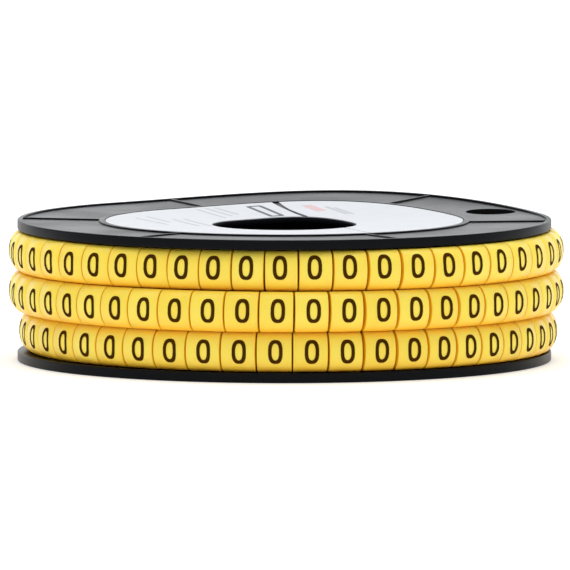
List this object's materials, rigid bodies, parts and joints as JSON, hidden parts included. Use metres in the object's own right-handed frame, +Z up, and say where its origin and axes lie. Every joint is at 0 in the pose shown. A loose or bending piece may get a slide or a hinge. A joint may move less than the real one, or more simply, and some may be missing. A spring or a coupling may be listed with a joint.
{
  "type": "reel of cable marker strip",
  "caption": "Full reel of soft yellow cable marker strip, an oval tube cut nearly through into short numbered markers, wound in rows on a two-disc black reel with a paper label.",
  "frame": {"origin": "on the reel's axis, in the plane of the lower disc's lip that it stands on", "axes": "+Z up along the reel's axis, out of the labelled disc; -Y towards the side that the picture shows"},
  "size_m": [0.1144, 0.1144, 0.0308],
  "materials": {
    "reel_plastic": "satin black moulded plastic",
    "label_paper": "coated white paper",
    "strip_pvc": "soft yellow PVC with a low gloss"
  },
  "bodies": {
    "root": {"reel_upper_half": "reel_plastic", "reel_lower_half": "reel_plastic", "label": "label_paper", "marker_strip": "strip_pvc"}
  },
  "joints": []
}
